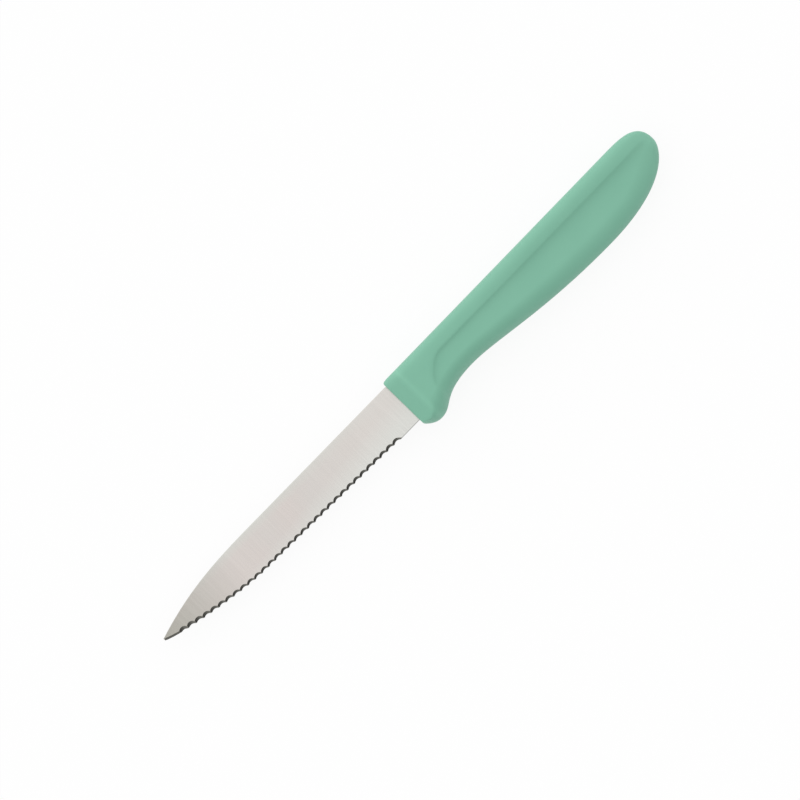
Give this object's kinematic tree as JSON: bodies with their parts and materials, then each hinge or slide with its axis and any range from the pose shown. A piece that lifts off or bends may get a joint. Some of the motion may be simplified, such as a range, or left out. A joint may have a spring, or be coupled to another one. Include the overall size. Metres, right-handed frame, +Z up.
{
  "type": "serrated utility knife",
  "caption": "Small kitchen knife: a thin satin steel blade with scalloped teeth and a dropped point, moulded into a mint-green handle with a finger guard, a creased cheek and a palm swell.",
  "frame": {"origin": "under the middle of the knife's box, on the surface that the knife lies on", "axes": "+X runs along the spine from the point to the butt, +Y points from the edge to the spine, +Z points up out of the cheek that faces up, which is the side that the teeth are ground from"},
  "size_m": [0.2084, 0.0204, 0.013],
  "materials": {
    "blade_steel": "satin, ground across the blade",
    "handle_plastic": "moulded, fine matt texture"
  },
  "bodies": {
    "root": {"blade": "blade_steel", "handle": "handle_plastic"}
  },
  "joints": []
}
